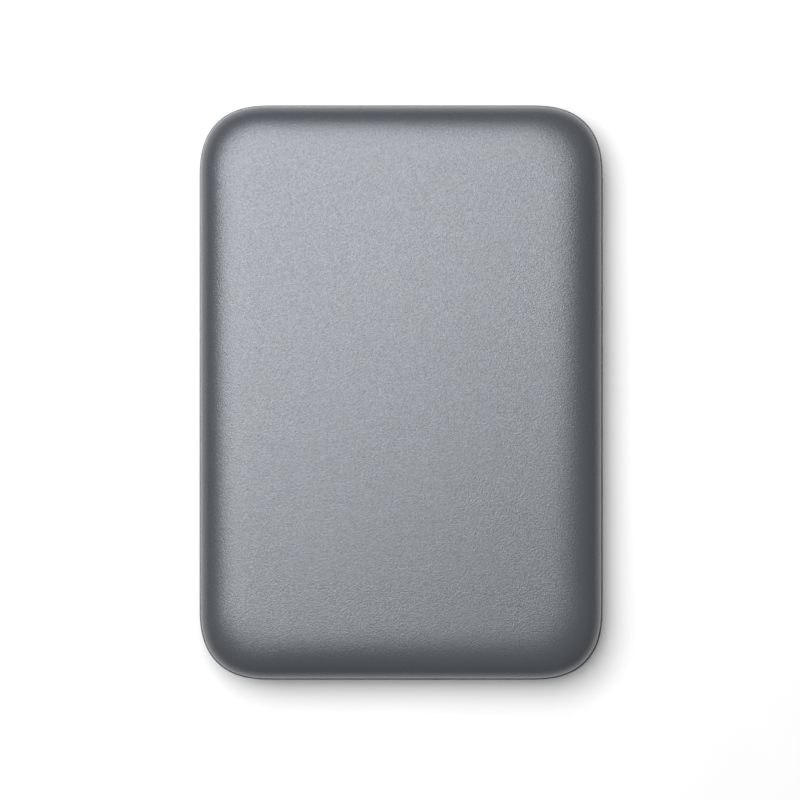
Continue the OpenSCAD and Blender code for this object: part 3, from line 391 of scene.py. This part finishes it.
def cast_metal():
    m = Nodes("cast_aluminium")
    pits = m.noise(0.7, 5, 0.62)
    m.set("Base Color", m.colours(pits, (0.3, (0.4, 0.405, 0.41)), (0.7, (0.53, 0.535, 0.54))))
    m.set("Metallic", 1.0)
    m.set("Roughness", m.between(pits, 0.42, 0.62))
    m.set("Normal", m.bump(pits, 0.04))
    return m.mat


def mirror_disk():
    m = Nodes("disk_mirror")
    haze = m.noise(14, 2)
    m.set("Base Color", m.colours(haze, (0.4, (0.70, 0.69, 0.68)), (0.6, (0.76, 0.75, 0.74))))
    m.set("Metallic", 1.0)
    m.set("Roughness", m.between(haze, 0.03, 0.06))
    return m.mat


def circuit_board():
    """Green lacquer over copper tracks, drawn as the narrow edges of square cells."""
    m = Nodes("board_laminate")
    cells = m.add(
        "ShaderNodeTexVoronoi", Vector=m.place, Scale=1 / (1.6 * MM),
        distance="CHEBYCHEV", feature="DISTANCE_TO_EDGE",
    )
    tracks = m.add("ShaderNodeMapRange", Value=cells.outputs["Distance"])
    tracks.inputs["From Min"].default_value = 0.05
    tracks.inputs["From Max"].default_value = 0.11
    shade = tracks.outputs["Result"]
    m.set("Base Color", m.colours(shade, (0.0, (0.03, 0.115, 0.05)), (1.0, (0.012, 0.062, 0.03))))
    m.set("Roughness", m.between(m.noise(0.4, 2), 0.3, 0.42))
    m.set("Coat Weight", 0.3)
    m.set("Normal", m.bump(shade, 0.02))
    return m.mat


def clear_lens():
    m = Nodes("led_lens")
    m.set("Base Color", m.colours(m.noise(0.8, 2), (0.4, (0.78, 0.82, 0.86)), (0.6, (0.86, 0.9, 0.93))))
    m.set("Roughness", m.between(m.noise(0.3, 2), 0.12, 0.22))
    m.set("Transmission Weight", 0.35)
    m.set("IOR", 1.49)
    return m.mat


def wound_wire():
    m = Nodes("copper_wire")
    turns = m.wave(0.5)
    # Painted shade: the copper is darker in the grooves between turns, following the same bands as the bump.
    m.set("Base Color", m.colours(turns, (0.2, (0.3, 0.095, 0.03)), (0.8, (0.62, 0.24, 0.09))))
    m.set("Metallic", 1.0)
    m.set("Roughness", m.between(turns, 0.45, 0.28))
    m.set("Normal", m.bump(turns, 0.03))
    return m.mat


def flex_film():
    m = Nodes("flex_film")
    m.set("Base Color", m.colours(m.wave(1.4), (0.4, (0.42, 0.17, 0.03)), (0.6, (0.6, 0.27, 0.06))))
    m.set("Roughness", m.between(m.noise(0.5, 2), 0.25, 0.4))
    m.set("Coat Weight", 0.4)
    return m.mat


def felt(name):
    m = Nodes(name)
    fibres = m.noise(0.25, 5, 0.7, (1, 1, 3))
    m.set("Base Color", m.colours(fibres, (0.3, (0.62, 0.61, 0.57)), (0.7, (0.83, 0.82, 0.78))))
    m.set("Roughness", m.between(fibres, 0.85, 1.0))
    m.set("Sheen Weight", 0.3)
    m.set("Normal", m.bump(fibres, 0.06))
    return m.mat


def crumpled_foil():
    m = Nodes("foil")
    folds = m.noise(3.5, 4, 0.55)
    m.set("Base Color", m.colours(folds, (0.35, (0.66, 0.67, 0.69)), (0.65, (0.8, 0.81, 0.82))))
    m.set("Metallic", 1.0)
    m.set("Roughness", m.between(folds, 0.22, 0.4))
    m.set("Normal", m.bump(folds, 0.12))
    return m.mat


MATERIALS = {
    "case_plastic": case_plastic(),
    "foot_rubber": soft_rubber("foot_rubber"),
    "grommet_rubber": soft_rubber("grommet_rubber"),
    "board_laminate": circuit_board(),
    "chip_plastic": moulded_plastic("chip_plastic", (0.018, 0.018, 0.02), 0.55, 0.2, 0.006, 0.1).mat,
    "small_parts": brushed_metal("small_parts", (0.5, 0.45, 0.36), 0.42),
    "plated_steel": brushed_metal("plated_steel", (0.6, 0.605, 0.61), 0.3),
    "black_plastic": moulded_plastic("black_plastic", (0.02, 0.02, 0.022), 0.48, 0.3, 0.008, 0.1).mat,
    "led_lens": clear_lens(),
    "foil": crumpled_foil(),
    "cast_aluminium": cast_metal(),
    "pressed_cover": brushed_metal("pressed_cover", (0.6, 0.61, 0.62), 0.34, (14, 1, 1), 0.9),
    "disk_mirror": mirror_disk(),
    "machined_steel": brushed_metal("machined_steel", (0.54, 0.545, 0.56), 0.25),
    "bearing_brass": brushed_metal("bearing_brass", (0.68, 0.48, 0.2), 0.3),
    "magnet": brushed_metal("magnet", (0.58, 0.585, 0.6), 0.24, (1, 1, 1), 1.4),
    "core_steel": brushed_metal("core_steel", (0.3, 0.305, 0.32), 0.4, (1, 1, 8), 0.5),
    "copper_wire": wound_wire(),
    "slider_ceramic": moulded_plastic("slider_ceramic", (0.05, 0.05, 0.055), 0.25, 0.1, 0.002, 0.1).mat,
    "ramp_plastic": moulded_plastic("ramp_plastic", (0.66, 0.62, 0.5), 0.45, 0.3, 0.006).mat,
    "flex_film": flex_film(),
    "filter_fabric": felt("filter_fabric"),
}


def dress(obj, slot_name):
    obj.data.materials.clear()
    obj.data.materials.append(MATERIALS[slot_name])


for row in frame["record"]["subparts"]:
    dress(frame["nodes"][row["node"]], row["material_slot"])


def adopt(obj, slot_name, body, *nodes):
    """Gives a new piece its finish and the body it rides on, and hides the CAD nodes it stands for."""
    dress(obj, slot_name)
    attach(obj, body)
    if nodes:
        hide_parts(*nodes)


# Case shells

# Where each hook hangs, as a turn of the outline, a distance and a shift along it
HOOK_PLACES = [(turn, CASE_W / 2, k * HOOK_PITCH) for turn in (0, 180) for k in (-1, 0, 1)]
HOOK_PLACES += [(-90, CASE_L / 2, k * HOOK_PITCH * 0.6) for k in (-1, 1)]


def base_steps():
    lip = RIM_STEP + SKIRT_T + LIP_GAP
    edge = [
        (SEAM_EDGE * (1 - cos(radians(a))), SEAM_Z - SEAM_EDGE * (1 - sin(radians(a))))
        for a in (0, 30, 60, 90)
    ]
    return (
        roll(0, ROLL_W, HALF_H, -1)[::-1]
        + edge
        + [(lip, SEAM_Z), (lip + SEAM_EDGE / 2, SEAM_Z + LIP_H), (WALL, SEAM_Z + LIP_H)]
        + roll(WALL, ROLL_W - WALL, HALF_H - WALL, -1)
    )


def cover_steps():
    in_h = HALF_H - WALL
    seam_top = SEAM_Z + SEAM_GAP
    skirt_top = SEAM_Z + LIP_H + LIP_GAP
    out_start = roll_angle(seam_top + SEAM_EDGE - MID_Z, HALF_H)
    in_start = roll_angle(skirt_top - MID_Z, in_h)
    skirt_in = RIM_STEP + SKIRT_T
    return (
        roll(WALL, ROLL_W - WALL, in_h, 1, in_start)[::-1]
        + [(skirt_in, skirt_top), (skirt_in, seam_top), (RIM_STEP + SEAM_EDGE, seam_top)]
        + roll(RIM_STEP, ROLL_W - RIM_STEP, HALF_H, 1, out_start)
    )


def at_hooks(body):
    """Copies of a body at every hook's place; its x is minus the inset from the widest line."""
    return [
        moved(body, Matrix.Rotation(radians(turn), 4, "Z") @ Matrix.Translation((out, shift, 0)))
        for turn, out, shift in HOOK_PLACES
    ]


def hooks():
    tip, flank, nose = 0.4, 0.15, 0.3
    section = [
        (-HOOK_IN, MID_Z + wall_z(HOOK_IN)), (-HOOK_IN, HOOK_TIP_Z), (-HOOK_OUT - tip, HOOK_TIP_Z),
        (-HOOK_OUT - flank, CATCH_Z - CATCH_H), (-HOOK_OUT + HOOK_CATCH, CATCH_Z - nose),
        (-HOOK_OUT + HOOK_CATCH, CATCH_Z), (-HOOK_OUT, CATCH_Z), (-HOOK_OUT, MID_Z + wall_z(HOOK_OUT)),
    ]
    return at_hooks(loft([[(x, y, z) for x, z in section] for y in (-HOOK_W / 2, HOOK_W / 2)]))


def hook_pockets():
    """Pockets in the lower wall that the hooks catch in."""
    half = HOOK_W / 2 + POCKET_GAP
    return at_hooks(box(
        -HOOK_IN, -HOOK_OUT + HOOK_CATCH + POCKET_GAP, -half, half,
        CATCH_Z - CATCH_H - POCKET_GAP, CATCH_Z + POCKET_GAP,
    ))


def ribs(z0, z1):
    """Stiffening ribs on a flat inner face."""
    long_y, long_x, half = CASE_L / 2 - 2 * ROLL_W, CASE_W / 2 - ROLL_W - WALL, RIB_T / 2
    along = [box(x - half, x + half, -long_y, long_y, z0, z1) for x in (-FOOT_X, FOOT_X)]
    return along + [box(-long_x, long_x, y - half, y + half, z0, z1) for y in (-RIB_PITCH, 0, RIB_PITCH)]


def cradles(side, width):
    """Plates under (side -1) or over (side 1) each grommet, notched to sit in its groove."""
    wall = side * wall_z(CASE_W / 2 - CRADLE_X) + MID_Z - GROMMET_Z
    r, half = GROOVE_R + CRADLE_GAP, width / 2
    reach = asin(min(half / r, 1))
    notch = [reach * (1 - k / 12) for k in range(25)]
    shoulder = [(half, 0)] if half > r else []
    plan = [(-half, wall), (half, wall)] + shoulder
    plan += [(r * sin(a), side * r * cos(a)) for a in notch]
    plan += [(-y, z) for y, z in shoulder]
    return [
        loft([
            [(x + t, y + u, GROMMET_Z + v) for u, v in plan]
            for t in (-CRADLE_T / 2, CRADLE_T / 2)
        ])
        for x in (-CRADLE_X, CRADLE_X) for y in CRADLE_YS
    ]


def bridge_posts():
    """Posts for the bridge board, each with a pin through it."""
    low = MID_Z - wall_z(CASE_L / 2 - POST_Y)
    post = prism(disc(POST_R), low, BRIDGE_Z)
    pin = prism(disc(PIN_R, 32), low, BRIDGE_Z + BRIDGE_T + PIN_PROUD)
    return [at(body, x, POST_Y) for x in (-POST_X, POST_X) for body in (post, pin)]


def socket_mouth():
    """Opening for the socket with a shallow step and a broken edge round its mouth."""
    w, h = SOCKET_W + 2 * SOCKET_CLEAR, SOCKET_H + 2 * SOCKET_CLEAR
    through = rounded_rect(w, h, MOUTH_R)
    wide = rounded_rect(w + 2 * MOUTH_STEP, h + MOUTH_STEP, MOUTH_R + 0.3)
    eased = rounded_rect(w + 2 * (MOUTH_STEP + MOUTH_EASE), h + MOUTH_STEP + 2 * MOUTH_EASE, MOUTH_R + 0.45)
    y = CASE_L / 2
    step = [(wide, y - MOUTH_DEPTH), (wide, y - 0.1), (eased, y + 0.05), (eased, y + CUT_PAST)]
    return [
        loft([facing_back(through, SOCKET_X, SOCKET_Z, end) for end in (y - WALL - 2, y + CUT_PAST)]),
        loft([facing_back(plan, SOCKET_X, SOCKET_Z, end) for plan, end in step]),
    ]


def light_hole():
    """Hole for the light pipe, widened at its mouth."""
    y, wide = CASE_L / 2, PIPE_HOLE_R + PIPE_EASE
    steps = [(PIPE_HOLE_R, y - WALL - 2), (PIPE_HOLE_R, y - PIPE_EASE), (wide, y), (wide, y + CUT_PAST)]
    return loft([facing_back(disc(r), PIPE_X, PIPE_Z, end) for r, end in steps])


foot_places = [(x, y) for y in (-FOOT_Y, FOOT_Y) for x in (-FOOT_X, FOOT_X)]
foot_pocket = prism(disc(FOOT_R + FOOT_GAP, 96), FOOT_PROUD - 1, FOOT_PROUD + FOOT_POCKET)
floor_in, top_in = FOOT_PROUD + WALL, FOOT_PROUD + CASE_H - WALL

cover = mesh_of("cover_shell", [skin(cover_steps())])
carve(cover, ribs(top_in - RIB_H, top_in + BURY) + hooks() + cradles(1, 2 * GROOVE_R - 1), [])
adopt(cover, "case_plastic", "case", "top_cover")

base = mesh_of("base_shell", [skin(base_steps())])
carve(
    base,
    ribs(floor_in - BURY, floor_in + RIB_H) + cradles(-1, CRADLE_W) + bridge_posts(),
    hook_pockets() + socket_mouth() + [light_hole()] + [at(foot_pocket, x, y) for x, y in foot_places],
)
adopt(base, "case_plastic", "case", "bottom_case")

# Feet: moulded pads with a rounded edge and a shallow dish below

foot_profile = [(FOOT_R - FOOT_DISH, DISH_DEPTH), (FOOT_R - FOOT_DISH + DISH_SLOPE, 0.0)]
foot_profile += [
    (FOOT_R - FOOT_SOFT * (1 - sin(radians(a))), FOOT_SOFT * (1 - cos(radians(a))))
    for a in range(0, 91, 15)
]
foot_profile += [(FOOT_R, FOOT_PROUD + FOOT_POCKET)]
for i, (x, y) in enumerate(foot_places):
    pad = mesh_of(f"foot_pad_{i + 1}", [at(lathe(foot_profile), x, y)])
    adopt(pad, "foot_rubber", "case", f"foot_{i + 1}")

# Socket: a formed two-bay sleeve and the contacts on its tongue


def socket_plan(inset):
    """The sleeve's outline: a wide bay and a narrow one, with a dip in the wall between them."""
    w, h, main = SOCKET_W - 2 * inset, SOCKET_H - 2 * inset, SOCKET_W * 0.6 - inset
    bevel, dip, lean = 0.8, 0.5, 0.4
    points = [
        (-w / 2, -h / 2), (w / 2, -h / 2), (w / 2, h / 2 - bevel), (w / 2 - bevel, h / 2),
        (w / 2 - main + bevel, h / 2), (w / 2 - main, h / 2 - dip), (w / 2 - main - lean, h / 2),
        (-w / 2 + dip, h / 2), (-w / 2, h / 2 - dip),
    ]
    big, small, dip_r = 0.42 - inset, 0.14, 0.1
    return rounded(points, [big, big, big / 2, big / 2, small, dip_r, small / 2, small, small])


lip_in, lip_start = 0.03, 0.1
sleeve = loft([
    facing_back(socket_plan(inset), SOCKET_X, SOCKET_Z, y)
    for inset, y in (
        (0, SOCKET_BACK), (0, SOCKET_FRONT - lip_start), (lip_in, SOCKET_FRONT - lip_in),
        (lip_start, SOCKET_FRONT), (SHELL_T - lip_start, SOCKET_FRONT),
        (SHELL_T - lip_in, SOCKET_FRONT - lip_in), (SHELL_T, SOCKET_FRONT - lip_start),
        (SHELL_T, SOCKET_BACK + SHELL_T),
    )
])
adopt(mesh_of("socket_sleeve", [sleeve]), "plated_steel", "case", "socket_shell")

tongue_x = SOCKET_X - SOCKET_W / 2 + 1
tongue_front = SOCKET_FRONT - TONGUE_BACK
contact_places = [0.55 + 0.62 * k for k in range(5)] + [5.6 + 0.78 * k for k in range(5)]
contacts = [
    box(
        tongue_x + u - CONTACT_W / 2, tongue_x + u + CONTACT_W / 2, SOCKET_BACK + SHELL_T,
        tongue_front - CONTACT_BACK, TONGUE_Z - CONTACT_PROUD, TONGUE_Z + CONTACT_PROUD / 2,
    )
    for u in contact_places
]
adopt(mesh_of("socket_contacts", contacts), "bearing_brass", "case")

# Flex cable: a thin ribbon from the arm block to its bracket, drawn in one bowed shape; the real one bends as
# the heads swing

flex_r = BLOCK_R + FLEX_START
flex_from = Vector((flex_r * cos(radians(FLEX_DIR)), flex_r * sin(radians(FLEX_DIR))))


def flex_point(t, side):
    """Point along the ribbon's bowed middle line, shifted sideways."""
    d = FLEX_END - flex_from
    n = Vector((-d.y, d.x)).normalized()
    slope = d - n * FLEX_BOW * cos(pi * t) * pi
    s = Vector((-slope.y, slope.x)).normalized()
    return PIVOT + flex_from + d * t - n * FLEX_BOW * sin(pi * t) + s * side


def flex_ring(t):
    near, far = flex_point(t, -FLEX_T / 2), flex_point(t, FLEX_T / 2)
    top = FLEX_LOW + FLEX_H
    return [(near.x, near.y, FLEX_LOW), (far.x, far.y, FLEX_LOW), (far.x, far.y, top), (near.x, near.y, top)]


flex = mesh_of("flex_ribbon", [loft([flex_ring(k / FLEX_STEPS) for k in range(FLEX_STEPS + 1)])])
dress(flex, "flex_film")
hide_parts("flex_cable")
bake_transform(flex)

# Camera: straight above, its image centre a little off the case's

PX_PER_MM = 5.04
CAMERA_DIST = 450.0
CAMERA_X, CAMERA_Y = -0.23, -1.48
FRAME_PX, SENSOR = 800, 36.0

camera_data = bpy.data.cameras.new("camera")
camera_data.sensor_width = SENSOR
camera_data.lens = PX_PER_MM * CAMERA_DIST * SENSOR / FRAME_PX
camera = new_object("camera", camera_data)
camera.location = (CAMERA_X * MM, CAMERA_Y * MM, (SEAM_Z + CAMERA_DIST) * MM)
bpy.context.scene.camera = camera

# Floor and light: pale paper and one large softbox above the upper left, in a dark room

FLOOR_HALF = 3000
WORLD_STRENGTH = 0.025

floor = mesh_of("floor", [(
    [(x * FLOOR_HALF, y * FLOOR_HALF, 0) for x, y in ((-1, -1), (1, -1), (1, 1), (-1, 1))],
    [(0, 1, 2, 3)],
)])
paper = Nodes("floor_paper")
paper.set("Base Color", paper.colours(paper.noise(40, 2), (0.3, (0.66, 0.66, 0.66)), (0.7, (0.68, 0.68, 0.68))))
paper.set("Roughness", 0.9)
paper.set("Specular IOR Level", 0.1)
floor.data.materials.append(paper.mat)


def softbox(name, place, target, size_x, size_y, power):
    light = bpy.data.lights.new(name, "AREA")
    light.shape = "RECTANGLE"
    light.size, light.size_y = size_x, size_y
    light.energy = power
    obj = new_object(name, light)
    obj.location = place
    obj.rotation_euler = (Vector(target) - Vector(place)).to_track_quat("-Z", "Y").to_euler()


softbox("key_light", (-0.13, 0.145, 0.62), (0, 0, 0), 0.56, 0.54, 9.0)

world = bpy.data.worlds.new("studio")
world.use_nodes = True
world.node_tree.nodes["Background"].inputs["Color"].default_value = (1, 1, 1, 1)
world.node_tree.nodes["Background"].inputs["Strength"].default_value = WORLD_STRENGTH
bpy.context.scene.world = world
bpy.context.scene.view_settings.view_transform = "Standard"
